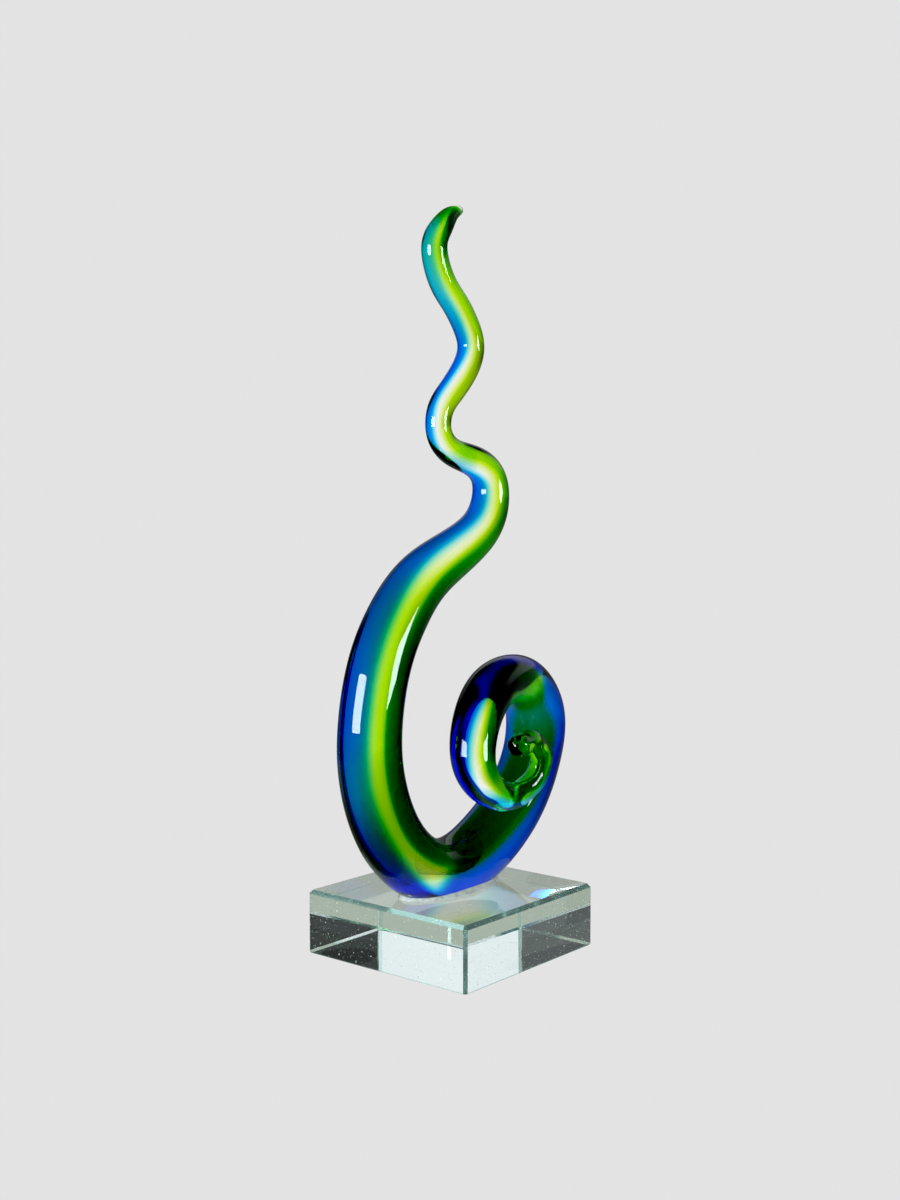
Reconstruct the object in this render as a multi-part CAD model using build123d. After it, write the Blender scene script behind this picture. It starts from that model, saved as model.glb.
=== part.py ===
from build123d import *
import math
import os
from typing import NamedTuple

# Square base block, with its origin at the middle of the underside
base_side = 80.0
base_height = 25.0
base_top_chamfer = 1.5
base_corner_chamfer = 1.2
base_foot_chamfer = 0.6

# Clear glue between the base block and the flat ground under the rod, with its squeezed-out rim
bond_thickness = 0.8
bond_rim_width = 1.8
bond_rim_height = 2.0
bond_rim_top_width = 0.5

# Stretch of the rod that comes down to the glue, counted in stations
bond_first_station = 21.0
bond_last_station = 29.0

# Coloured strips cased inside the rod. A drawn rod thins all its layers alike, so their depths are shares of
# its radius. Near its ends a strip shrinks towards the core share.
strip_outer_share = 0.88
strip_edge_share = 0.81
strip_inner_share = 0.60
strip_core_share = 0.50
strip_half_angle = 64.0
strip_taper = 1.5
strip_end_fullness = 0.3
blue_first_station = 1.4
blue_last_station = 39.2
yellow_green_first_station = 0.5
yellow_green_last_station = 39.6

# Fineness of the solids
sections_per_station = 2
end_cap_angles = (25.0, 50.0, 70.0, 82.0)


class Station(NamedTuple):
    """One place on the rod's middle line. A lean turns the blue strip from the outer side towards the back,
    and the yellow-green strip from the inner side towards the front."""

    toward: float
    across: float
    up: float
    diameter: float
    blue_lean: float
    yellow_green_lean: float


# The rod from its drawn-off tip down the wave, round the swollen body and into the curl.
# Places are millimetres from the middle of the ground flat: towards the front, across and up.
stations = [
    Station(0.0, 4.2, 262.8, 3.8, 15.0, 40.0),
    Station(0.0, -1.2, 260.0, 6.8, 15.0, 40.0),
    Station(0.0, -6.5, 254.4, 9.2, 15.0, 45.0),
    Station(0.0, -10.0, 246.5, 10.0, 15.0, 50.0),
    Station(0.0, -5.5, 235.0, 10.4, 15.0, 55.0),
    Station(0.0, 2.5, 227.0, 10.6, 20.0, 55.0),
    Station(0.0, 9.5, 218.5, 10.6, 28.0, 55.0),
    Station(0.0, 12.0, 210.5, 10.6, 34.0, 55.0),
    Station(0.0, 8.0, 202.0, 10.8, 40.0, 55.0),
    Station(0.0, 0.0, 193.5, 10.6, 45.0, 55.0),
    Station(0.0, -6.5, 186.0, 10.2, 45.0, 55.0),
    Station(0.0, -7.0, 176.5, 10.0, 45.0, 55.0),
    Station(0.0, 1.0, 170.0, 10.8, 45.0, 50.0),
    Station(0.0, 13.0, 167.0, 12.2, 45.0, 50.0),
    Station(0.0, 22.5, 161.5, 13.8, 45.0, 55.0),
    Station(0.0, 24.5, 151.5, 15.2, 45.0, 55.0),
    Station(0.0, 17.5, 140.0, 16.8, 42.0, 55.0),
    Station(0.0, 0.5, 130.5, 19.2, 32.0, 44.0),
    Station(0.0, -18.0, 121.0, 21.6, 26.0, 42.0),
    Station(0.0, -32.0, 107.0, 23.0, 21.0, 45.0),
    Station(0.0, -42.0, 89.0, 23.6, 18.0, 50.0),
    Station(0.0, -46.8, 66.0, 24.0, 15.0, 51.0),
    Station(0.0, -44.8, 45.0, 24.6, 15.0, 49.0),
    Station(0.0, -35.0, 24.5, 25.2, 15.0, 42.0),
    Station(0.0, -17.0, 9.5, 25.4, 15.0, 30.0),
    Station(0.0, 4.0, 7.0, 25.6, 15.0, 20.0),
    Station(0.0, 24.0, 14.5, 26.0, 15.0, 18.0),
    Station(0.0, 42.0, 28.0, 25.4, 15.0, 28.0),
    Station(0.0, 53.2, 45.5, 24.8, 18.0, 38.0),
    Station(1.0, 54.0, 62.0, 24.8, 30.0, 45.0),
    Station(4.0, 43.8, 74.6, 21.8, 55.0, 60.0),
    Station(9.0, 26.5, 79.8, 19.8, 75.0, 75.0),
    Station(14.0, 7.0, 77.3, 19.4, 75.0, 75.0),
    Station(18.5, -7.5, 66.5, 18.4, 65.0, 60.0),
    Station(21.5, -12.3, 52.0, 16.8, 60.0, 55.0),
    Station(24.0, -5.5, 41.4, 13.6, 55.0, 50.0),
    Station(26.0, 5.5, 37.8, 10.6, 50.0, 45.0),
    Station(27.0, 16.2, 41.2, 9.2, 45.0, 45.0),
    Station(28.0, 21.2, 50.0, 9.0, 45.0, 45.0),
    Station(29.0, 14.4, 57.6, 9.0, 45.0, 45.0),
    Station(31.0, 2.8, 58.2, 8.6, 45.0, 45.0),
]

flat_height = base_height + bond_thickness


def bends_through(values):
    """Second derivatives of the smooth natural curve through values that stand one step apart."""
    last = len(values) - 1
    share = [0.0] * (last + 1)
    rest = [0.0] * (last + 1)
    for i in range(1, last):
        pivot = 4.0 - share[i - 1]
        share[i] = 1.0 / pivot
        rest[i] = (6.0 * (values[i - 1] - 2.0 * values[i] + values[i + 1]) - rest[i - 1]) / pivot
    bends = [0.0] * (last + 1)
    for i in range(last - 1, 0, -1):
        bends[i] = rest[i] - share[i] * bends[i + 1]
    return bends


columns = list(zip(*stations))
column_bends = [bends_through(column) for column in columns]


def station_at(place):
    """The rod's values at any place along it, counted in stations."""
    i = min(int(place), len(stations) - 2)
    u = place - i
    w = 1.0 - u
    values = []
    for column, bends in zip(columns, column_bends):
        bow = ((w**3 - w) * bends[i] + (u**3 - u) * bends[i + 1]) / 6.0
        values.append(w * column[i] + u * column[i + 1] + bow)
    return Station(*values)


def middle_at(place):
    """A point on the rod's middle line."""
    here = station_at(place)
    return Vector(here.toward, here.across, flat_height + here.up)


def section_plane(place):
    """The plane square to the rod, with its X axis towards the outer side of the body and curl."""
    reach = 0.01
    before = middle_at(max(place - reach, 0.0))
    after = middle_at(min(place + reach, len(stations) - 1.0))
    along = (after - before).normalized()
    front = Vector(1, 0, 0)
    outward = along.cross(front - along * front.dot(along)).normalized()
    return Plane(origin=middle_at(place), x_dir=outward, z_dir=along)


def places_between(first, last):
    """Evenly spread places along the rod."""
    count = math.ceil((last - first) * sections_per_station)
    return [first + (last - first) * i / count for i in range(count + 1)]


def rounded_end(place, direction):
    """Shrinking circles that round off one end of the rod, from the full circle outwards."""
    plane = section_plane(place)
    radius = station_at(place).diameter / 2.0
    circles = []
    for angle in end_cap_angles:
        lift = direction * radius * math.sin(math.radians(angle))
        circles.append(plane.offset(lift) * Circle(radius * math.cos(math.radians(angle))))
    return circles


def rod_circles(first, last):
    """Circles square to the rod along one stretch of it."""
    circles = []
    for place in places_between(first, last):
        circles.append(section_plane(place) * Circle(station_at(place).diameter / 2.0))
    return circles


def rod():
    """The whole rod as one solid, before the flat is ground and the colours are set in."""
    end = len(stations) - 1.0
    return loft(rounded_end(0.0, -1.0)[::-1] + rod_circles(0.0, end) + rounded_end(end, 1.0))


def strip_section(place, middle, fullness):
    """The lens-shaped cut through a coloured strip, between an outer and an inner arc."""
    radius = station_at(place).diameter / 2.0
    half_angle = strip_half_angle * fullness

    def spot(share, angle):
        reach = radius * (strip_core_share + (share - strip_core_share) * fullness)
        return (reach * math.cos(math.radians(angle)), reach * math.sin(math.radians(angle)))

    left = spot(strip_edge_share, middle - half_angle)
    right = spot(strip_edge_share, middle + half_angle)
    outer_arc = ThreePointArc(left, spot(strip_outer_share, middle), right)
    inner_arc = ThreePointArc(right, spot(strip_inner_share, middle), left)
    return section_plane(place) * make_face(outer_arc + inner_arc)


def strip(first, last, middle_angle):
    """A band of coloured glass that follows the rod and thins out at both of its ends."""
    sections = []
    for place in places_between(first, last):
        nearest_end = min(place - first, last - place)
        rise = math.sin(math.pi / 2.0 * min(1.0, nearest_end / strip_taper))
        fullness = strip_end_fullness + (1.0 - strip_end_fullness) * rise
        sections.append(strip_section(place, middle_angle(station_at(place)), fullness))
    return loft(sections)


def blue_angle(here):
    """Middle of the blue strip, from the outer side."""
    return here.blue_lean


def yellow_green_angle(here):
    """Middle of the yellow-green strip, from the outer side."""
    return 180.0 + here.yellow_green_lean


def ground(glass):
    """The glass that is left above the flat ground under the rod."""
    return split(glass, bisect_by=Plane.XY.offset(flat_height), keep=Keep.TOP)


def base_block():
    """The square block with every edge ground to a narrow chamfer."""
    block = Box(base_side, base_side, base_height, align=(Align.CENTER, Align.CENTER, Align.MIN))
    block = chamfer(block.edges().filter_by(Axis.Z), base_corner_chamfer)
    block = chamfer(block.faces().sort_by(Axis.Z)[-1].edges(), base_top_chamfer)
    return chamfer(block.faces().sort_by(Axis.Z)[0].edges(), base_foot_chamfer)


def adhesive_bond():
    """The glue pad under the ground flat, and its rim that fills the corner round the rod."""
    standing_stretch = ground(loft(rod_circles(bond_first_station, bond_last_station)))
    flat = standing_stretch.faces().sort_by(Axis.Z)[0].bounding_box()
    middle = flat.center()
    layers = []
    for height, width in ((0.0, bond_rim_width), (bond_rim_height, bond_rim_top_width)):
        oval = Ellipse(flat.size.X / 2.0 + width, flat.size.Y / 2.0 + width)
        layers.append(Pos(middle.X, middle.Y, base_height + height) * oval)
    return loft(layers) - standing_stretch


def save(name, solid):
    """Writes one piece to its own file and prints its volume."""
    print(f"{name}: {solid.volume:.0f} cubic millimetres, valid {solid.is_valid}")
    export_step(solid, f"parts/{name}.step")


os.makedirs("parts", exist_ok=True)
standing_rod = ground(rod())
blue_strip = strip(blue_first_station, blue_last_station, blue_angle)
yellow_green_strip = strip(yellow_green_first_station, yellow_green_last_station, yellow_green_angle)

save("clear_casing", standing_rod - yellow_green_strip - blue_strip)
save("yellow_green_strip", yellow_green_strip)
save("blue_strip", ground(blue_strip))
save("adhesive_bond", adhesive_bond())
save("base_block", base_block())
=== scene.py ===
import math
from typing import NamedTuple

import bmesh
import bpy
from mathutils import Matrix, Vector


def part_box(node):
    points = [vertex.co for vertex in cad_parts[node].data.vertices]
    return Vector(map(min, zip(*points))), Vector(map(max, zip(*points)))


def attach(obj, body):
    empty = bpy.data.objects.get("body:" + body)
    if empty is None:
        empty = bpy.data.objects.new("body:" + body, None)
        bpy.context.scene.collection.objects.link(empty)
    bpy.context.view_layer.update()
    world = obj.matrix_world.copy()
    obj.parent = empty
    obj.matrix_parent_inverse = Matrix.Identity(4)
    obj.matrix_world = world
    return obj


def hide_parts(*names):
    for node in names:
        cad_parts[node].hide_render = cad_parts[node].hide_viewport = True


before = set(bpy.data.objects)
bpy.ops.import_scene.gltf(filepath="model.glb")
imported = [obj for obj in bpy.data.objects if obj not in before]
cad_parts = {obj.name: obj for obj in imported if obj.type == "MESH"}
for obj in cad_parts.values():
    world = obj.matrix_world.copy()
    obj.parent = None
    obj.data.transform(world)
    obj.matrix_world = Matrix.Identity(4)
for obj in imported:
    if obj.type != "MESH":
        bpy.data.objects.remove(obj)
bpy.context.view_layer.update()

# Millimetres in the values below become metres in the frame
MM = 0.001

# Camera, fitted to the corners of the square base
CAMERA_PLACE = Vector((366.72, -440.88, 176.36)) * MM
CAMERA_AZIMUTH = math.radians(39.8)
CAMERA_PITCH = math.radians(3.79)
FOCAL_PIXELS = 1473.2
PHOTO_HEIGHT = 1200.0
SENSOR = 36.0

# Directions as the camera sees them: right and back along the floor, and up
RIGHT = (math.cos(CAMERA_AZIMUTH), math.sin(CAMERA_AZIMUTH), 0.0)
BACK = (-math.sin(CAMERA_AZIMUTH), math.cos(CAMERA_AZIMUTH), 0.0)
UP = (0.0, 0.0, 1.0)


class Station(NamedTuple):
    """One place on the rod's middle line and the colours cased in it there. Places are millimetres towards
    the front, across, and up from the ground flat. A lean turns the blue strip from the outer side towards
    the back, and the yellow-green strip from the inner side towards the front. Half width, softness and tail
    are those of the yellow-green strip. The tail tells how much of it runs on as a thin film."""

    toward: float
    across: float
    up: float
    diameter: float
    blue_lean: float
    blue_depth: float
    yellow_green_lean: float
    yellow_green_depth: float
    half_width: float
    softness: float
    tail: float


# The rod from its drawn-off tip down the wave, round the swollen body and into the curl
stations = [
    Station(0.0, 4.2, 262.8, 3.8, 15.0, 1.2, 40.0, 2.0, 150.0, 4.0, 0.3),
    Station(0.0, -1.2, 260.0, 6.8, 15.0, 1.5, 40.0, 3.2, 100.0, 4.0, 0.6),
    Station(0.0, -6.5, 254.4, 9.2, 15.0, 1.3, 45.0, 2.4, 66.0, 4.0, 0.8),
    Station(0.0, -10.0, 246.5, 10.0, 15.0, 0.95, 50.0, 0.95, 58.0, 5.0, 0.95),
    Station(0.0, -5.5, 235.0, 10.4, 15.0, 0.95, 55.0, 0.38, 56.0, 6.0, 0.95),
    Station(0.0, 2.5, 227.0, 10.6, 20.0, 1.2, 55.0, 0.35, 56.0, 7.0, 0.8),
    Station(0.0, 9.5, 218.5, 10.6, 28.0, 1.7, 55.0, 0.33, 56.0, 8.0, 0.55),
    Station(0.0, 12.0, 210.5, 10.6, 34.0, 1.8, 55.0, 0.31, 56.0, 9.0, 0.3),
    Station(0.0, 8.0, 202.0, 10.8, 40.0, 1.9, 55.0, 0.3, 56.0, 9.0, 0.2),
    Station(0.0, 0.0, 193.5, 10.6, 45.0, 1.9, 55.0, 0.3, 56.0, 9.0, 0.1),
    Station(0.0, -6.5, 186.0, 10.2, 45.0, 1.7, 55.0, 0.3, 56.0, 9.0, 0.1),
    Station(0.0, -7.0, 176.5, 10.0, 45.0, 1.4, 55.0, 0.34, 56.0, 9.0, 0.1),
    Station(0.0, 1.0, 170.0, 10.8, 45.0, 1.4, 50.0, 0.38, 56.0, 9.0, 0.1),
    Station(0.0, 13.0, 167.0, 12.2, 38.0, 1.7, 43.0, 0.5, 56.0, 9.0, 0.1),
    Station(0.0, 22.5, 161.5, 13.8, 32.0, 2.1, 42.0, 0.6, 56.0, 8.5, 0.1),
    Station(0.0, 24.5, 151.5, 15.2, 29.0, 2.2, 40.0, 0.8, 56.0, 8.0, 0.12),
    Station(0.0, 17.5, 140.0, 16.8, 27.0, 2.3, 38.0, 1.3, 56.0, 7.0, 0.2),
    Station(0.0, 0.5, 130.5, 19.2, 23.0, 2.4, 34.0, 2.0, 56.0, 5.5, 0.3),
    Station(0.0, -18.0, 121.0, 21.6, 19.0, 2.5, 34.0, 2.6, 56.0, 4.5, 0.45),
    Station(0.0, -32.0, 107.0, 23.0, 16.0, 2.6, 39.0, 2.4, 54.0, 4.0, 0.85),
    Station(0.0, -42.0, 89.0, 23.6, 15.0, 2.6, 48.0, 2.8, 52.0, 3.5, 1.0),
    Station(0.0, -46.8, 66.0, 24.0, 15.0, 2.6, 51.0, 3.1, 52.0, 3.5, 0.95),
    Station(0.0, -44.8, 45.0, 24.6, 11.0, 2.1, 49.0, 3.6, 52.0, 3.5, 1.2),
    Station(0.0, -35.0, 24.5, 25.2, 2.0, 4.0, 45.0, 4.2, 48.0, 3.5, 1.6),
    Station(0.0, -17.0, 9.5, 25.4, 10.0, 4.2, 35.0, 3.4, 39.0, 4.0, 0.5),
    Station(0.0, 4.0, 7.0, 25.6, 29.0, 3.2, 31.0, 2.0, 36.0, 4.0, 0.15),
    Station(0.0, 24.0, 14.5, 26.0, 26.0, 2.7, 30.0, 1.8, 36.0, 4.0, 0.12),
    Station(0.0, 42.0, 28.0, 25.4, 20.0, 2.6, 33.0, 1.5, 38.0, 4.5, 0.1),
    Station(0.0, 53.2, 45.5, 24.8, 16.0, 3.2, 36.0, 0.5, 40.0, 5.0, 0.1),
    Station(1.0, 54.0, 62.0, 24.8, 14.0, 2.4, 34.0, 0.2, 40.0, 6.0, 0.1),
    Station(4.0, 43.8, 74.6, 21.8, 8.0, 3.2, 34.0, 0.2, 32.0, 6.0, 0.1),
    Station(9.0, 26.5, 79.8, 19.8, 9.0, 5.4, 46.0, 1.0, 70.0, 6.0, 0.1),
    Station(14.0, 7.0, 77.3, 19.4, 8.0, 5.4, 66.0, 2.2, 64.0, 6.0, 0.1),
    Station(18.5, -7.5, 66.5, 18.4, 26.0, 4.3, 52.0, 2.4, 56.0, 6.0, 0.1),
    Station(21.5, -12.3, 52.0, 16.8, 34.0, 3.5, 44.0, 2.2, 56.0, 6.0, 0.1),
    Station(24.0, -5.5, 41.4, 13.6, 43.0, 2.2, 42.0, 0.7, 56.0, 6.0, 0.1),
    Station(26.0, 5.5, 37.8, 10.6, 50.0, 0.8, 45.0, 0.25, 56.0, 6.0, 0.1),
    Station(27.0, 16.2, 41.2, 9.2, 30.0, 0.7, 45.0, 0.2, 56.0, 6.0, 0.1),
    Station(28.0, 21.2, 50.0, 9.0, 5.0, 0.8, 45.0, 0.35, 75.0, 6.0, 0.1),
    Station(29.0, 14.4, 57.6, 9.0, -5.0, 0.45, 45.0, 0.5, 130.0, 6.0, 0.1),
    Station(31.0, 2.8, 58.2, 8.6, -5.0, 0.3, 45.0, 0.5, 160.0, 6.0, 0.1),
]
LAST_STATION = len(stations) - 1.0
FLAT_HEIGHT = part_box("clear_casing")[0].z

# Coloured strips inside the rod. Their places across it are shares of its radius.
STRIP_OUTER = 0.90
STRIP_EDGE = 0.82
STRIP_INNER_LEAST = 0.05
STRIP_END = 0.3

# Stretch of each strip and of its thinning ends, counted in stations
BLUE_FIRST = 0.5
BLUE_LAST = 39.6
BLUE_TAPER = 0.9
YELLOW_GREEN_FIRST = 0.0
YELLOW_GREEN_LAST = 39.9
YELLOW_GREEN_TAPER = 0.5

# Blue strip: how far it spreads to each side, its half width and its soft edge in degrees, how much sharper
# that edge is for each millimetre of diameter, and how many millimetres above the ground flat it ends
BLUE_SPREAD = 78.0
BLUE_HALF_WIDTH = 50.5
BLUE_SOFTNESS = 10.5
BLUE_SHARPER_BY_DIAMETER = 0.22
BLUE_CLEARANCE = 0.1

# Yellow-green strip: its widest spread and its spread beyond the half width in degrees, and how its tail
# widens it in front and behind
FULL_SPREAD = 172.0
FILM_SPREAD = 39.0
FRONT_SPREAD_BY_TAIL = 25.0
BACK_SPREAD_BY_TAIL = 45.0
LEAST_TAIL = 0.08

# The thin yellow film in front of the yellow-green strip and the tint behind it: the strength at one angle
# beyond the strip's half width, and how fast it fades from there
FILM_SHARE = 0.14
FILM_ANGLE = 5.3
FILM_FADE = 5.0
FILM_FADE_BY_DEPTH = 3.0
TINT_DEPTH = 0.085
TINT_ANGLE = 41.0
TINT_FADE = 13.0

# Dents of the tools at the inner end of the curl: their depth as a share of the radius, the station where
# they start, over how many stations they deepen, and their waves round the rod and along it. The rounded end
# counts as a part of a station.
TOOL_MARK = 0.09
TOOLED_FROM = 34.5
TOOLED_RISE = 4.5
TOOL_WAVES = ((2.0, 2.3), (3.0, -4.1))
CAP_STATIONS = 0.4

# Fineness of the meshes
RINGS_PER_STATION = 10
ROD_SIDES = 72
STRIP_SIDES = 36
CAP_RINGS = 8
SHARP_ANGLE = math.radians(40.0)

# Light that each coloured glass takes away per metre, in red, green and blue
BLUE_PER_METRE = (3400.0, 676.0, 60.0)
YELLOW_GREEN_PER_METRE = (1920.0, 480.0, 14400.0)

# Shared by the materials: height of the faint waviness in metres, fineness of its noise, and plain white
RIPPLE_HEIGHT = 0.001
NOISE_DETAIL = 2.0
WHITE = (1.0, 1.0, 1.0, 1.0)

# Clear casing of the rod
CASING_IOR = 1.5
CASING_RIPPLE_SCALE = 70.0
CASING_RIPPLE = 0.05

# Glass of the base, its ground chamfers and its specks of dust
BASE_IOR = 1.52
BASE_RIPPLE_SCALE = 30.0
BASE_RIPPLE = 0.01
BASE_COLOUR = (0.2, 1.0, 0.8)
BASE_DENSITY = 0.8
GROUND_STOPS = ((0.0, 1.0), (0.85, 1.0), (0.9, 0.0), (1.0, 0.0))
GROUND_ROUGHNESS = 0.12
GROUND_TINT = (0.62, 0.90, 0.86, 1.0)
GROUND_WHITENESS = 0.3
DUST_SCALE = 900.0
DUST_DETAIL = 1.0
DUST_STOPS = ((0.0, 0.0), (0.68, 0.0), (0.74, 1.0), (1.0, 1.0))
DUST_CLEARNESS = 0.5

# Cured glue with its flecks of trapped air
GLUE_IOR = 1.45
GLUE_ROUGHNESS = 0.2
GLUE_CLEARNESS = 0.3
GLUE_COAT = 1.0
FLECK_SCALE = 420.0
FLECK_STOPS = ((0.0, 0.60), (0.45, 0.80), (0.56, 1.0), (1.0, 1.0))
GLUE_RIPPLE_SCALE = 700.0
GLUE_RIPPLE = 0.6

# Studio tones, as linear light
BACKDROP_LIGHT = 0.773
WALL_TINT = (0.93, 0.98, 1.0)
FLOOR_TINT = (0.89, 1.0, 0.85)
BLACK_LEVEL = 0.015

# Light of the studio round the sculpture: degrees to the right of straight back, and brightness
PAPER_ROUND = (
    (-180.0, 0.70), (-120.0, 0.45), (-75.0, 0.22), (-45.0, 0.50), (-22.0, 0.90), (0.0, 0.95), (45.0, 0.95),
    (75.0, 0.60), (120.0, 0.55), (180.0, 0.70),
)
LOW_ROUND = (
    (-180.0, 0.60), (-140.0, 0.50), (-120.0, 0.25), (-80.0, 0.20), (-62.0, 0.15), (-36.0, 0.40),
    (-20.0, 0.65), (-6.0, 0.92), (0.0, 0.95), (45.0, 0.95), (62.0, 0.65), (74.0, 0.35), (100.0, 0.35),
    (130.0, 0.50), (180.0, 0.60),
)
WALL_ROUND = (
    (-180.0, 0.60), (-140.0, 0.50), (-120.0, 0.13), (-80.0, 0.12), (-62.0, 0.05), (-36.0, 0.30),
    (-20.0, 0.65), (-6.0, 0.92), (0.0, 0.95), (45.0, 0.95), (62.0, 0.60), (74.0, 0.04), (100.0, 0.04),
    (130.0, 0.50), (180.0, 0.60),
)
UPPER_ROUND = (
    (-180.0, 0.60), (-120.0, 0.30), (-70.0, 0.12), (-40.0, 0.45), (0.0, 0.95), (45.0, 0.95), (90.0, 0.60),
    (180.0, 0.60),
)

# How those four follow each other upwards: rise of the direction, and share of the higher one
ABOVE_PAPER = ((-1.0, 0.0), (-0.02, 0.0), (0.02, 1.0), (1.0, 1.0))
ABOVE_LOW = ((-1.0, 0.0), (0.15, 0.0), (0.20, 1.0), (1.0, 1.0))
ABOVE_WALL = ((-1.0, 0.0), (0.36, 0.0), (0.48, 1.0), (1.0, 1.0))

# Rise of the direction, and what is left of the light under a dim ceiling and in reflections
CEILING = ((0.0, 1.0), (0.80, 1.0), (0.95, 0.40), (1.0, 0.35))
REFLECTED = ((0.0, 0.15), (0.20, 0.15), (0.25, 0.5), (0.42, 0.5), (0.50, 0.12), (1.0, 0.12))

# Floor in metres: half its side, how far under the base it lies, its glow by the distance back from the
# middle, which is painted light with painted shade near the sculpture, how it gives way to the studio by the
# distance from the middle, and what reflections show of it
FLOOR_HALF = 6.0
FLOOR_DROP = 0.3 * MM
FLOOR_PAINTED_GLOW = ((-0.5, 0.45), (0.10, 0.48), (0.40, 0.90), (0.5, 0.95))
FLOOR_BEYOND = ((0.0, 0.0), (0.35, 0.0), (0.45, 1.0), (1.0, 1.0))
FLOOR_REFLECTED = (0.3, 0.3, 0.3, 1.0)

# Soft lights: name, degrees to the right of the camera and up, distance, width and height in metres
SOFTBOXES = (
    ("softbox_left", -47.0, 10.0, 1.2, 0.64, 0.50),
    ("softbox_right", 67.0, 6.5, 3.0, 1.1, 0.84),
)
SOFTBOX_TARGET = Vector((0.0, 0.0, 0.12))
SOFTBOX_LIGHT = 54.0
SOFTBOX_TINT = (0.86, 1.0, 0.98)

# How often light may pass or bounce
GLASS_BOUNCES = 32
GLOSSY_BOUNCES = 16
CLEAR_PASSES = 64


def bends_through(values):
    """Second derivatives of the smooth natural curve through values that stand one step apart."""
    last = len(values) - 1
    share = [0.0] * (last + 1)
    rest = [0.0] * (last + 1)
    for i in range(1, last):
        pivot = 4.0 - share[i - 1]
        share[i] = 1.0 / pivot
        rest[i] = (6.0 * (values[i - 1] - 2.0 * values[i] + values[i + 1]) - rest[i - 1]) / pivot
    bends = [0.0] * (last + 1)
    for i in range(last - 1, 0, -1):
        bends[i] = rest[i] - share[i] * bends[i + 1]
    return bends


columns = list(zip(*stations))
column_bends = [bends_through(column) for column in columns]


def station_at(place):
    """The rod's values at any place along it, counted in stations."""
    i = min(int(place), len(stations) - 2)
    u = place - i
    w = 1.0 - u
    values = []
    for column, bends in zip(columns, column_bends):
        bow = ((w**3 - w) * bends[i] + (u**3 - u) * bends[i + 1]) / 6.0
        values.append(w * column[i] + u * column[i + 1] + bow)
    return Station(*values)


def middle_at(place):
    """A point on the rod's middle line."""
    here = station_at(place)
    return Vector((here.toward * MM, here.across * MM, FLAT_HEIGHT + here.up * MM))


def section_at(place):
    """Middle, direction, outward side, back side and radius of the section at one place."""
    reach = 0.01
    before = middle_at(max(place - reach, 0.0))
    after = middle_at(min(place + reach, LAST_STATION))
    along = (after - before).normalized()
    front = Vector((1.0, 0.0, 0.0))
    outward = along.cross(front - along * front.dot(along)).normalized()
    back = along.cross(outward)
    return middle_at(place), along, outward, back, station_at(place).diameter / 2.0 * MM


def places_between(first, last):
    """Evenly spread places along the rod."""
    count = math.ceil((last - first) * RINGS_PER_STATION)
    return [first + (last - first) * i / count for i in range(count + 1)]


def tube_mesh(name, rings):
    """A closed tube through rings of equally many points, with a fan at each end. The two halves of a ring
    are split into triangles the same way across, so that the two faces of a thin strip never cross."""
    sides = len(rings[0])
    points = [point for ring in rings for point in ring]
    faces = []
    for r in range(len(rings) - 1):
        for s in range(sides):
            near = r * sides + s
            near_next = r * sides + (s + 1) % sides
            far = near + sides
            far_next = near_next + sides
            if s < sides // 2:
                faces += [(near, near_next, far_next), (near, far_next, far)]
            else:
                faces += [(near, near_next, far), (near_next, far_next, far)]
    for r in (0, len(rings) - 1):
        points.append(sum(rings[r], Vector()) / sides)
        for s in range(sides):
            faces.append((r * sides + s, r * sides + (s + 1) % sides, len(points) - 1))
    mesh = bpy.data.meshes.new(name)
    mesh.from_pydata(points, [], faces)
    shape = bmesh.new()
    shape.from_mesh(mesh)
    bmesh.ops.recalc_face_normals(shape, faces=shape.faces)
    shape.to_mesh(mesh)
    shape.free()
    return mesh


def grind_flat(mesh, height):
    """Cuts a mesh level at a height and closes the cut."""
    shape = bmesh.new()
    shape.from_mesh(mesh)
    everything = shape.verts[:] + shape.edges[:] + shape.faces[:]
    cut = bmesh.ops.bisect_plane(
        shape, geom=everything, plane_co=(0.0, 0.0, height), plane_no=(0.0, 0.0, -1.0), clear_outer=True
    )
    rim = [item for item in cut["geom_cut"] if isinstance(item, bmesh.types.BMEdge)]
    bmesh.ops.contextual_create(shape, geom=rim)
    bmesh.ops.recalc_face_normals(shape, faces=shape.faces)
    shape.to_mesh(mesh)
    shape.free()


def tool_mark(place, turn):
    """Shallow dents where the end of the curl was squeezed and nipped, as a share of the radius."""
    mark = TOOL_MARK * min(1.0, max(0.0, (place - TOOLED_FROM) / TOOLED_RISE))
    for waves_round, waves_along in TOOL_WAVES:
        mark *= math.sin(waves_round * turn + waves_along * place)
    return mark


def rod_ring(place, lift, share):
    """A circle round the rod, moved along it and shrunk for the rounded ends."""
    middle, along, outward, back, radius = section_at(place)
    ring = []
    for s in range(ROD_SIDES):
        turn = 2.0 * math.pi * s / ROD_SIDES
        share_here = share * (1.0 + tool_mark(place + CAP_STATIONS * lift, turn))
        across = outward * math.cos(turn) + back * math.sin(turn)
        ring.append(middle + along * lift * radius + across * radius * share_here)
    return ring


def rod_mesh():
    """The whole rod with rounded ends, ground flat underneath."""
    rings = []
    for i in range(1, CAP_RINGS + 1):
        turn = math.pi / 2.0 * i / (CAP_RINGS + 1)
        rings.append(rod_ring(0.0, -math.cos(turn), math.sin(turn)))
    rings += [rod_ring(place, 0.0, 1.0) for place in places_between(0.0, LAST_STATION)]
    for i in range(CAP_RINGS, 0, -1):
        turn = math.pi / 2.0 * i / (CAP_RINGS + 1)
        rings.append(rod_ring(LAST_STATION, math.cos(turn), math.sin(turn)))
    mesh = tube_mesh("clear_casing", rings)
    grind_flat(mesh, FLAT_HEIGHT)
    return mesh


def band(angle, half_width, softness):
    """Thickness across a band of colour with soft edges, as a share of its depth."""
    return 1.0 / (1.0 + math.exp((abs(angle) - half_width) / softness))


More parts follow.
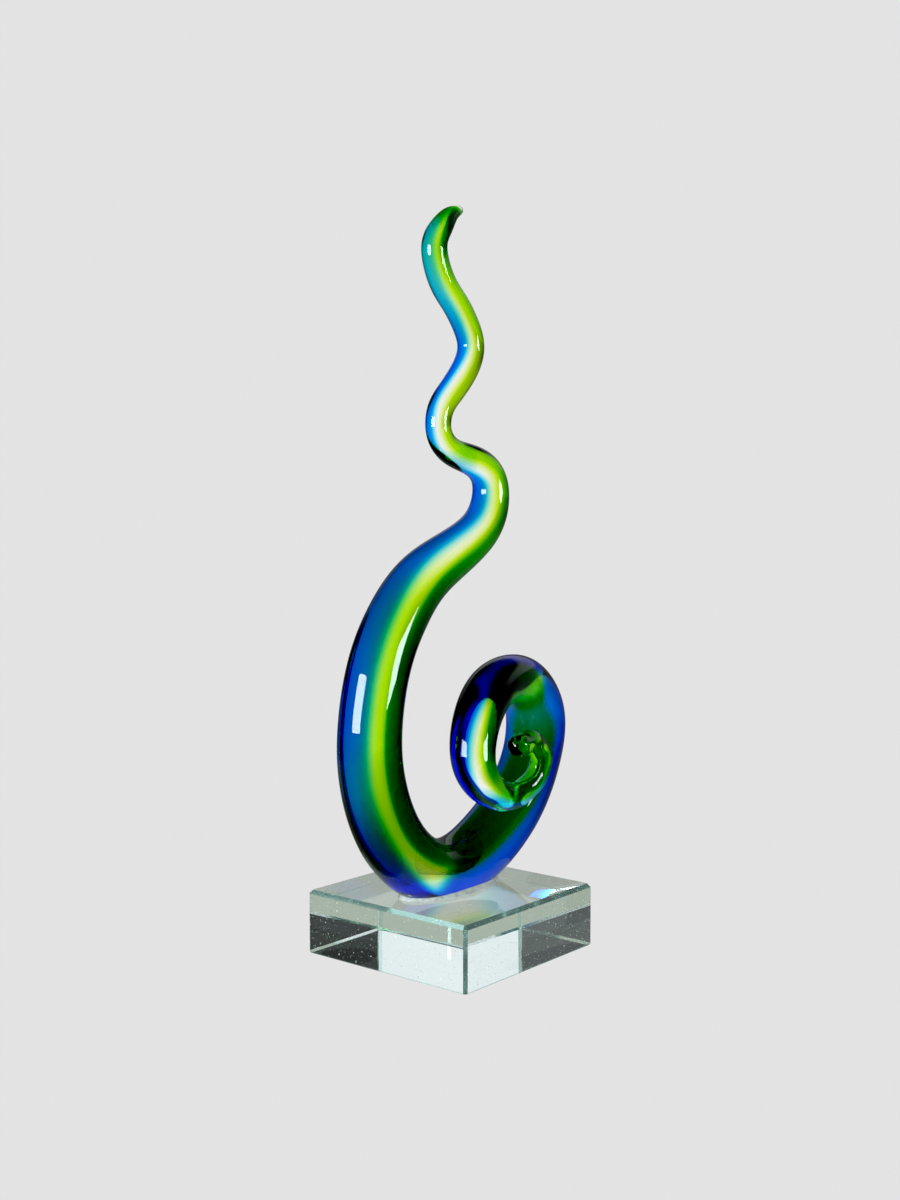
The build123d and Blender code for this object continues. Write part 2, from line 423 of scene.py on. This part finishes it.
def fading(angle, share, start, fade):
    """Thickness of a thin edge that fades with the angle beyond its strip."""
    return min(1.0, share * math.exp((start - angle) / fade))


def blue_strip_at(place):
    """Middle angle, spread to the back and front, depth and thickness curve of the blue strip at a place."""
    here = station_at(place)
    softness = BLUE_SOFTNESS - BLUE_SHARPER_BY_DIAMETER * here.diameter

    def crown(angle):
        return band(angle, BLUE_HALF_WIDTH, softness)

    return here.blue_lean, BLUE_SPREAD, BLUE_SPREAD, here.blue_depth * MM, crown


def yellow_green_strip_at(place):
    """The same of the yellow-green strip, with its thin yellow film in front and its fading tint behind."""
    here = station_at(place)
    depth = here.yellow_green_depth
    tail = max(LEAST_TAIL, here.tail)
    front_spread = min(FULL_SPREAD, here.half_width + FILM_SPREAD + FRONT_SPREAD_BY_TAIL * tail)
    back_spread = min(FULL_SPREAD, here.half_width + FILM_SPREAD + BACK_SPREAD_BY_TAIL * tail)
    tint_share = tail * TINT_DEPTH / depth
    film_fade = FILM_FADE + FILM_FADE_BY_DEPTH * depth * tail

    def crown(angle):
        lens = band(angle, here.half_width, here.softness)
        beyond = abs(angle) - here.half_width
        if angle > 0.0:
            return max(lens, fading(beyond, FILM_SHARE, FILM_ANGLE, film_fade))
        return max(lens, fading(beyond, tint_share, TINT_ANGLE, TINT_FADE))

    return 180.0 + here.yellow_green_lean, back_spread, front_spread, depth * MM, crown


def strip_ring(place, strip_at, fullness):
    """The crescent outline of a coloured strip at one place."""
    middle, _, outward, back, radius = section_at(place)
    turn, back_spread, front_spread, depth, crown = strip_at(place)
    inner = max(STRIP_INNER_LEAST, STRIP_OUTER - depth / radius)
    core = (STRIP_OUTER + inner) / 2.0
    ring = []
    for s in range(2 * STRIP_SIDES):
        on_outer = s <= STRIP_SIDES
        across = 2.0 * s / STRIP_SIDES - 1.0 if on_outer else 3.0 - 2.0 * s / STRIP_SIDES
        angle = across * (front_spread if across > 0.0 else back_spread)
        peak = STRIP_OUTER if on_outer else inner
        reach = core + (STRIP_EDGE + (peak - STRIP_EDGE) * crown(angle) - core) * fullness
        way = math.radians(turn + angle * fullness)
        ring.append(middle + (outward * math.cos(way) + back * math.sin(way)) * radius * reach)
    return ring


def strip_mesh(name, first, last, taper, strip_at):
    """A band of coloured glass that follows the rod and thins out at its ends."""
    rings = []
    for place in places_between(first, last):
        nearest_end = min(place - first, last - place)
        rise = math.sin(math.pi / 2.0 * min(1.0, nearest_end / taper))
        rings.append(strip_ring(place, strip_at, STRIP_END + (1.0 - STRIP_END) * rise))
    return tube_mesh(name, rings)


def value_ramp(tree, value, stops):
    """Brightness by a value, through stops of (value, light)."""
    low = stops[0][0]
    high = stops[-1][0]
    share = tree.nodes.new("ShaderNodeMapRange")
    share.inputs["From Min"].default_value = low
    share.inputs["From Max"].default_value = high
    tree.links.new(value, share.inputs["Value"])
    ramp = tree.nodes.new("ShaderNodeValToRGB")
    tree.links.new(share.outputs["Result"], ramp.inputs["Fac"])
    elements = ramp.color_ramp.elements
    elements.remove(elements[1])
    for number, (at, light) in enumerate(stops):
        place = (at - low) / (high - low)
        element = elements[0] if number == 0 else elements.new(place)
        element.position = place
        element.color = (light, light, light, 1.0)
    return ramp.outputs["Color"]


def scaled(tree, share, low, high):
    """A value that goes from low to high as a share goes from nothing to all."""
    span = tree.nodes.new("ShaderNodeMapRange")
    span.inputs["To Min"].default_value = low
    span.inputs["To Max"].default_value = high
    tree.links.new(share, span.inputs["Value"])
    return span.outputs["Result"]


def math_node(tree, operation, first, second):
    """One value worked out from two."""
    node = tree.nodes.new("ShaderNodeMath")
    node.operation = operation
    tree.links.new(first, node.inputs[0])
    tree.links.new(second, node.inputs[1])
    return node.outputs["Value"]


def along_axis(tree, vector, axis):
    """How far a vector reaches along an axis."""
    reach = tree.nodes.new("ShaderNodeVectorMath")
    reach.operation = "DOT_PRODUCT"
    reach.inputs[1].default_value = axis
    tree.links.new(vector, reach.inputs[0])
    return reach.outputs["Value"]


def blend(tree, kind, share, first, second):
    """Two colours blended. Each may be a socket or a plain colour."""
    mix = tree.nodes.new("ShaderNodeMix")
    mix.data_type = "RGBA"
    mix.blend_type = kind
    sockets = [item for item in mix.inputs if item.type == "RGBA"]
    for socket, value in ((mix.inputs["Factor"], share), (sockets[0], first), (sockets[1], second)):
        if isinstance(value, bpy.types.NodeSocket):
            tree.links.new(value, socket)
        else:
            socket.default_value = value
    return [item for item in mix.outputs if item.type == "RGBA"][0]


def surface_noise(tree, scale, detail):
    """Cloudy noise that is fixed to the piece."""
    noise = tree.nodes.new("ShaderNodeTexNoise")
    noise.inputs["Scale"].default_value = scale
    noise.inputs["Detail"].default_value = detail
    place = tree.nodes.new("ShaderNodeTexCoord")
    tree.links.new(place.outputs["Object"], noise.inputs["Vector"])
    return noise.outputs["Fac"]


def new_material(name):
    """An empty node material and its output."""
    material = bpy.data.materials.new(name)
    material.use_nodes = True
    material.node_tree.nodes.clear()
    output = material.node_tree.nodes.new("ShaderNodeOutputMaterial")
    return material, material.node_tree, output


def glass_shader(tree, output, ior, roughness):
    """A clear glass shader on the output."""
    shader = tree.nodes.new("ShaderNodeBsdfPrincipled")
    shader.inputs["Base Color"].default_value = WHITE
    shader.inputs["Roughness"].default_value = roughness
    shader.inputs["IOR"].default_value = ior
    shader.inputs["Transmission Weight"].default_value = 1.0
    tree.links.new(shader.outputs["BSDF"], output.inputs["Surface"])
    return shader


def absorb(tree, output, colour, density):
    """Fills the inside with light-absorbing colour."""
    inside = tree.nodes.new("ShaderNodeVolumeAbsorption")
    inside.inputs["Color"].default_value = (*colour, 1.0)
    inside.inputs["Density"].default_value = density
    tree.links.new(inside.outputs["Volume"], output.inputs["Volume"])


def ripple(tree, shader, scale, strength):
    """Faint waviness of hand-worked glass."""
    bump = tree.nodes.new("ShaderNodeBump")
    bump.inputs["Strength"].default_value = strength
    bump.inputs["Distance"].default_value = RIPPLE_HEIGHT
    tree.links.new(surface_noise(tree, scale, NOISE_DETAIL), bump.inputs["Height"])
    tree.links.new(bump.outputs["Normal"], shader.inputs["Normal"])


def casing_glass():
    """Fire-polished clear glass with a faint ripple."""
    material, tree, output = new_material("casing_glass")
    shader = glass_shader(tree, output, CASING_IOR, 0.0)
    ripple(tree, shader, CASING_RIPPLE_SCALE, CASING_RIPPLE)
    return material


def strip_glass(name, per_metre):
    """Coloured glass that bends light no more than the casing round it."""
    material, tree, output = new_material(name)
    surface = tree.nodes.new("ShaderNodeBsdfTransparent")
    tree.links.new(surface.outputs["BSDF"], output.inputs["Surface"])
    density = max(per_metre)
    absorb(tree, output, [1.0 - value / density for value in per_metre], density)
    return material


def ground_mask(tree):
    """White on the ground chamfers, which face none of the block's main directions, and black elsewhere."""
    face = tree.nodes.new("ShaderNodeNewGeometry").outputs["True Normal"]
    sides = tree.nodes.new("ShaderNodeVectorMath")
    sides.operation = "ABSOLUTE"
    tree.links.new(face, sides.inputs[0])
    parts = tree.nodes.new("ShaderNodeSeparateXYZ")
    tree.links.new(sides.outputs["Vector"], parts.inputs["Vector"])
    widest = math_node(tree, "MAXIMUM", parts.outputs["X"], parts.outputs["Y"])
    widest = math_node(tree, "MAXIMUM", widest, parts.outputs["Z"])
    return value_ramp(tree, widest, GROUND_STOPS)


def dust_mask(tree):
    """White on scattered specks of dust and fine pits, and black elsewhere."""
    return value_ramp(tree, surface_noise(tree, DUST_SCALE, DUST_DETAIL), DUST_STOPS)


def base_glass():
    """Polished optical glass with a faint green body colour, finely ground chamfers and some dust."""
    material, tree, output = new_material("base_glass")
    shader = glass_shader(tree, output, BASE_IOR, 0.0)
    ripple(tree, shader, BASE_RIPPLE_SCALE, BASE_RIPPLE)
    absorb(tree, output, BASE_COLOUR, BASE_DENSITY)
    ground = ground_mask(tree)
    tree.links.new(scaled(tree, ground, 0.0, GROUND_ROUGHNESS), shader.inputs["Roughness"])
    tint = blend(tree, "MIX", ground, WHITE, GROUND_TINT)
    tree.links.new(tint, shader.inputs["Base Color"])
    marks = math_node(tree, "MAXIMUM", scaled(tree, ground, 0.0, GROUND_WHITENESS), dust_mask(tree))
    tree.links.new(scaled(tree, marks, 1.0, DUST_CLEARNESS), shader.inputs["Transmission Weight"])
    return material


def clear_adhesive():
    """Cured glue, silvery with trapped air."""
    material, tree, output = new_material("clear_adhesive")
    shader = glass_shader(tree, output, GLUE_IOR, GLUE_ROUGHNESS)
    flecks = value_ramp(tree, surface_noise(tree, FLECK_SCALE, NOISE_DETAIL), FLECK_STOPS)
    tree.links.new(flecks, shader.inputs["Base Color"])
    shader.inputs["Transmission Weight"].default_value = GLUE_CLEARNESS
    shader.inputs["Coat Weight"].default_value = GLUE_COAT
    ripple(tree, shader, GLUE_RIPPLE_SCALE, GLUE_RIPPLE)
    return material


def new_piece(name, mesh, node, material):
    """A piece drawn in place of a CAD node, which it hides; it rides with the root body and wears a
    material.
    """
    piece = bpy.data.objects.new(name, mesh)
    bpy.context.scene.collection.objects.link(piece)
    mesh.shade_smooth()
    mesh.set_sharp_from_angle(angle=SHARP_ANGLE)
    mesh.materials.append(material)
    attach(piece, "root")
    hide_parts(node)


def build_rod():
    """The clear casing and the two coloured strips inside it."""
    new_piece("rod_casing", rod_mesh(), "clear_casing", casing_glass())
    blue = strip_mesh("rod_blue_strip", BLUE_FIRST, BLUE_LAST, BLUE_TAPER, blue_strip_at)
    grind_flat(blue, FLAT_HEIGHT + BLUE_CLEARANCE * MM)
    blue_glass = strip_glass("blue_glass", BLUE_PER_METRE)
    new_piece("rod_blue_strip", blue, "blue_strip", blue_glass)
    yellow_green = strip_mesh(
        "rod_yellow_green_strip",
        YELLOW_GREEN_FIRST,
        YELLOW_GREEN_LAST,
        YELLOW_GREEN_TAPER,
        yellow_green_strip_at,
    )
    yellow_green_glass = strip_glass("yellow_green_glass", YELLOW_GREEN_PER_METRE)
    new_piece(
        "rod_yellow_green_strip",
        yellow_green,
        "yellow_green_strip",
        yellow_green_glass,
    )


def dress_base():
    """Materials of the base block and the glue, which keep their own shapes."""
    for node, material in (("base_block", base_glass()), ("adhesive_bond", clear_adhesive())):
        cad_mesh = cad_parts[node].data
        cad_mesh.materials.clear()
        cad_mesh.materials.append(material)


def tone_by_ray(tree, studio, reflected):
    """Shows the camera one even pale tone, reflections a dimmed studio, and light through glass the studio
    itself."""
    path = tree.nodes.new("ShaderNodeLightPath")
    dimmed = blend(tree, "MULTIPLY", 1.0, studio, reflected)
    seen = blend(tree, "MIX", path.outputs["Is Reflection Ray"], studio, dimmed)
    even = (BACKDROP_LIGHT, BACKDROP_LIGHT, BACKDROP_LIGHT, 1.0)
    return blend(tree, "MIX", path.outputs["Is Camera Ray"], seen, even), path.outputs["Is Camera Ray"]


def light_round(tree, aside, stops):
    """Light by the direction round the sculpture."""
    return value_ramp(tree, aside, [(math.radians(turn), light) for turn, light in stops])


def studio_world():
    """Light from all round: a bright wall behind, dim sides and front, and bright paper below."""
    world = bpy.data.worlds.new("studio")
    bpy.context.scene.world = world
    world.use_nodes = True
    tree = world.node_tree
    tree.nodes.clear()
    output = tree.nodes.new("ShaderNodeOutputWorld")
    way = tree.nodes.new("ShaderNodeTexCoord").outputs["Generated"]
    aside = math_node(tree, "ARCTAN2", along_axis(tree, way, RIGHT), along_axis(tree, way, BACK))
    rise = along_axis(tree, way, UP)
    studio = light_round(tree, aside, UPPER_ROUND)
    for lower, above in ((WALL_ROUND, ABOVE_WALL), (LOW_ROUND, ABOVE_LOW), (PAPER_ROUND, ABOVE_PAPER)):
        studio = blend(tree, "MIX", value_ramp(tree, rise, above), light_round(tree, aside, lower), studio)
    studio = blend(tree, "MULTIPLY", 1.0, studio, value_ramp(tree, rise, CEILING))
    studio = blend(tree, "MULTIPLY", 1.0, studio, (*WALL_TINT, 1.0))
    tone, _ = tone_by_ray(tree, studio, value_ramp(tree, rise, REFLECTED))
    light = tree.nodes.new("ShaderNodeBackground")
    tree.links.new(tone, light.inputs["Color"])
    tree.links.new(light.outputs["Background"], output.inputs["Surface"])


def floor_material():
    """Even paper for the camera, glowing as painted light. Light that passes through the glass sees only its
    near part, whose glow is painted dimmer near the middle as painted shade, and the studio beyond.
    """
    material, tree, output = new_material("floor")
    spot = tree.nodes.new("ShaderNodeNewGeometry").outputs["Position"]
    distance = tree.nodes.new("ShaderNodeVectorMath")
    distance.operation = "LENGTH"
    tree.links.new(spot, distance.inputs[0])
    # Painted light: the floor glows, painted dimmer in front of and near the middle as painted shade,
    # brighter towards the back
    near = value_ramp(tree, along_axis(tree, spot, BACK), FLOOR_PAINTED_GLOW)
    near = blend(tree, "MULTIPLY", 1.0, near, (*FLOOR_TINT, 1.0))
    tone, is_camera = tone_by_ray(tree, near, FLOOR_REFLECTED)
    glow = tree.nodes.new("ShaderNodeEmission")
    tree.links.new(tone, glow.inputs["Color"])
    beyond = value_ramp(tree, distance.outputs["Value"], FLOOR_BEYOND)
    shown = blend(tree, "MIX", is_camera, beyond, (0.0, 0.0, 0.0, 1.0))
    gone = tree.nodes.new("ShaderNodeBsdfTransparent")
    sweep = tree.nodes.new("ShaderNodeMixShader")
    tree.links.new(shown, sweep.inputs["Fac"])
    tree.links.new(glow.outputs["Emission"], sweep.inputs[1])
    tree.links.new(gone.outputs["BSDF"], sweep.inputs[2])
    tree.links.new(sweep.outputs["Shader"], output.inputs["Surface"])
    return material


def floor():
    """A plain pale floor that glows with painted light."""
    mesh = bpy.data.meshes.new("floor")
    half = FLOOR_HALF
    corners = [(-half, -half, 0.0), (half, -half, 0.0), (half, half, 0.0), (-half, half, 0.0)]
    mesh.from_pydata(corners, [], [(0, 1, 2, 3)])
    mesh.materials.append(floor_material())
    piece = bpy.data.objects.new("floor", mesh)
    piece.location.z = -FLOOR_DROP
    bpy.context.scene.collection.objects.link(piece)


def softbox(name, azimuth, elevation, distance, width, height):
    """One soft light aimed at the sculpture."""
    light = bpy.data.lights.new(name, "AREA")
    light.shape = "RECTANGLE"
    light.size = width
    light.size_y = height
    light.energy = SOFTBOX_LIGHT * width * height
    light.color = SOFTBOX_TINT
    lamp = bpy.data.objects.new(name, light)
    bpy.context.scene.collection.objects.link(lamp)
    turn = CAMERA_AZIMUTH + math.radians(azimuth)
    level = math.cos(math.radians(elevation)) * distance
    lift = math.sin(math.radians(elevation)) * distance
    lamp.location = SOFTBOX_TARGET + Vector((math.sin(turn) * level, -math.cos(turn) * level, lift))
    lamp.rotation_euler = (SOFTBOX_TARGET - lamp.location).to_track_quat("-Z", "Y").to_euler()
    lamp.visible_camera = False


def camera():
    """The camera at the photo's place."""
    lens = bpy.data.cameras.new("camera")
    lens.sensor_width = SENSOR
    lens.lens = FOCAL_PIXELS / PHOTO_HEIGHT * SENSOR
    eye = bpy.data.objects.new("camera", lens)
    eye.location = CAMERA_PLACE
    eye.rotation_euler = (math.pi / 2.0 - CAMERA_PITCH, 0.0, CAMERA_AZIMUTH)
    bpy.context.scene.collection.objects.link(eye)
    bpy.context.scene.camera = eye


def light_paths():
    """Room for light to pass several layers of glass, and plain colours."""
    scene = bpy.context.scene
    scene.cycles.max_bounces = GLASS_BOUNCES
    scene.cycles.transmission_bounces = GLASS_BOUNCES
    scene.cycles.glossy_bounces = GLOSSY_BOUNCES
    scene.cycles.transparent_max_bounces = CLEAR_PASSES
    scene.view_settings.view_transform = "Standard"
    scene.view_settings.use_curve_mapping = True
    scene.view_settings.curve_mapping.black_level = (BLACK_LEVEL, BLACK_LEVEL, BLACK_LEVEL)


build_rod()
dress_base()
studio_world()
floor()
for box in SOFTBOXES:
    softbox(*box)
camera()
light_paths()
